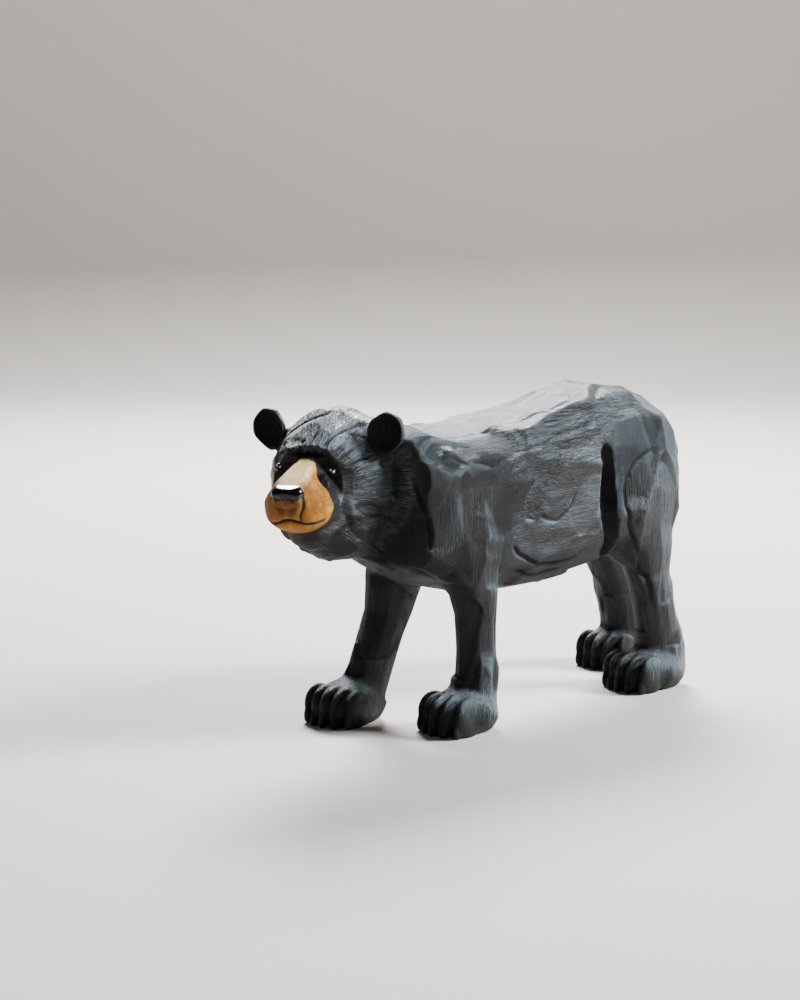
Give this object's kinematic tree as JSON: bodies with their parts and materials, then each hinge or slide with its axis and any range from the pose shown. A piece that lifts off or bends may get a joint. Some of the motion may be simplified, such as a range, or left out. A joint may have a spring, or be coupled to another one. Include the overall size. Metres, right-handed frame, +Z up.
{
  "type": "carved bear figurine",
  "caption": "Walking black bear carved from one block, on four flat soles, with its head turned to its left and a tan muzzle.",
  "frame": {"origin": "middle of the outline seen from above, at the height of the four soles", "axes": "+Z up; the bear walks along -Y, and its own left side is at +X"},
  "size_m": [0.0716, 0.2582, 0.1378],
  "materials": {
    "painted_carving": "charcoal black paint, dry-brushed grey over carved and brushed wood grain, soft satin; the muzzle is bare tan wood and the nose and eyes are gloss black"
  },
  "bodies": {
    "root": {"bear": "painted_carving"}
  },
  "joints": []
}
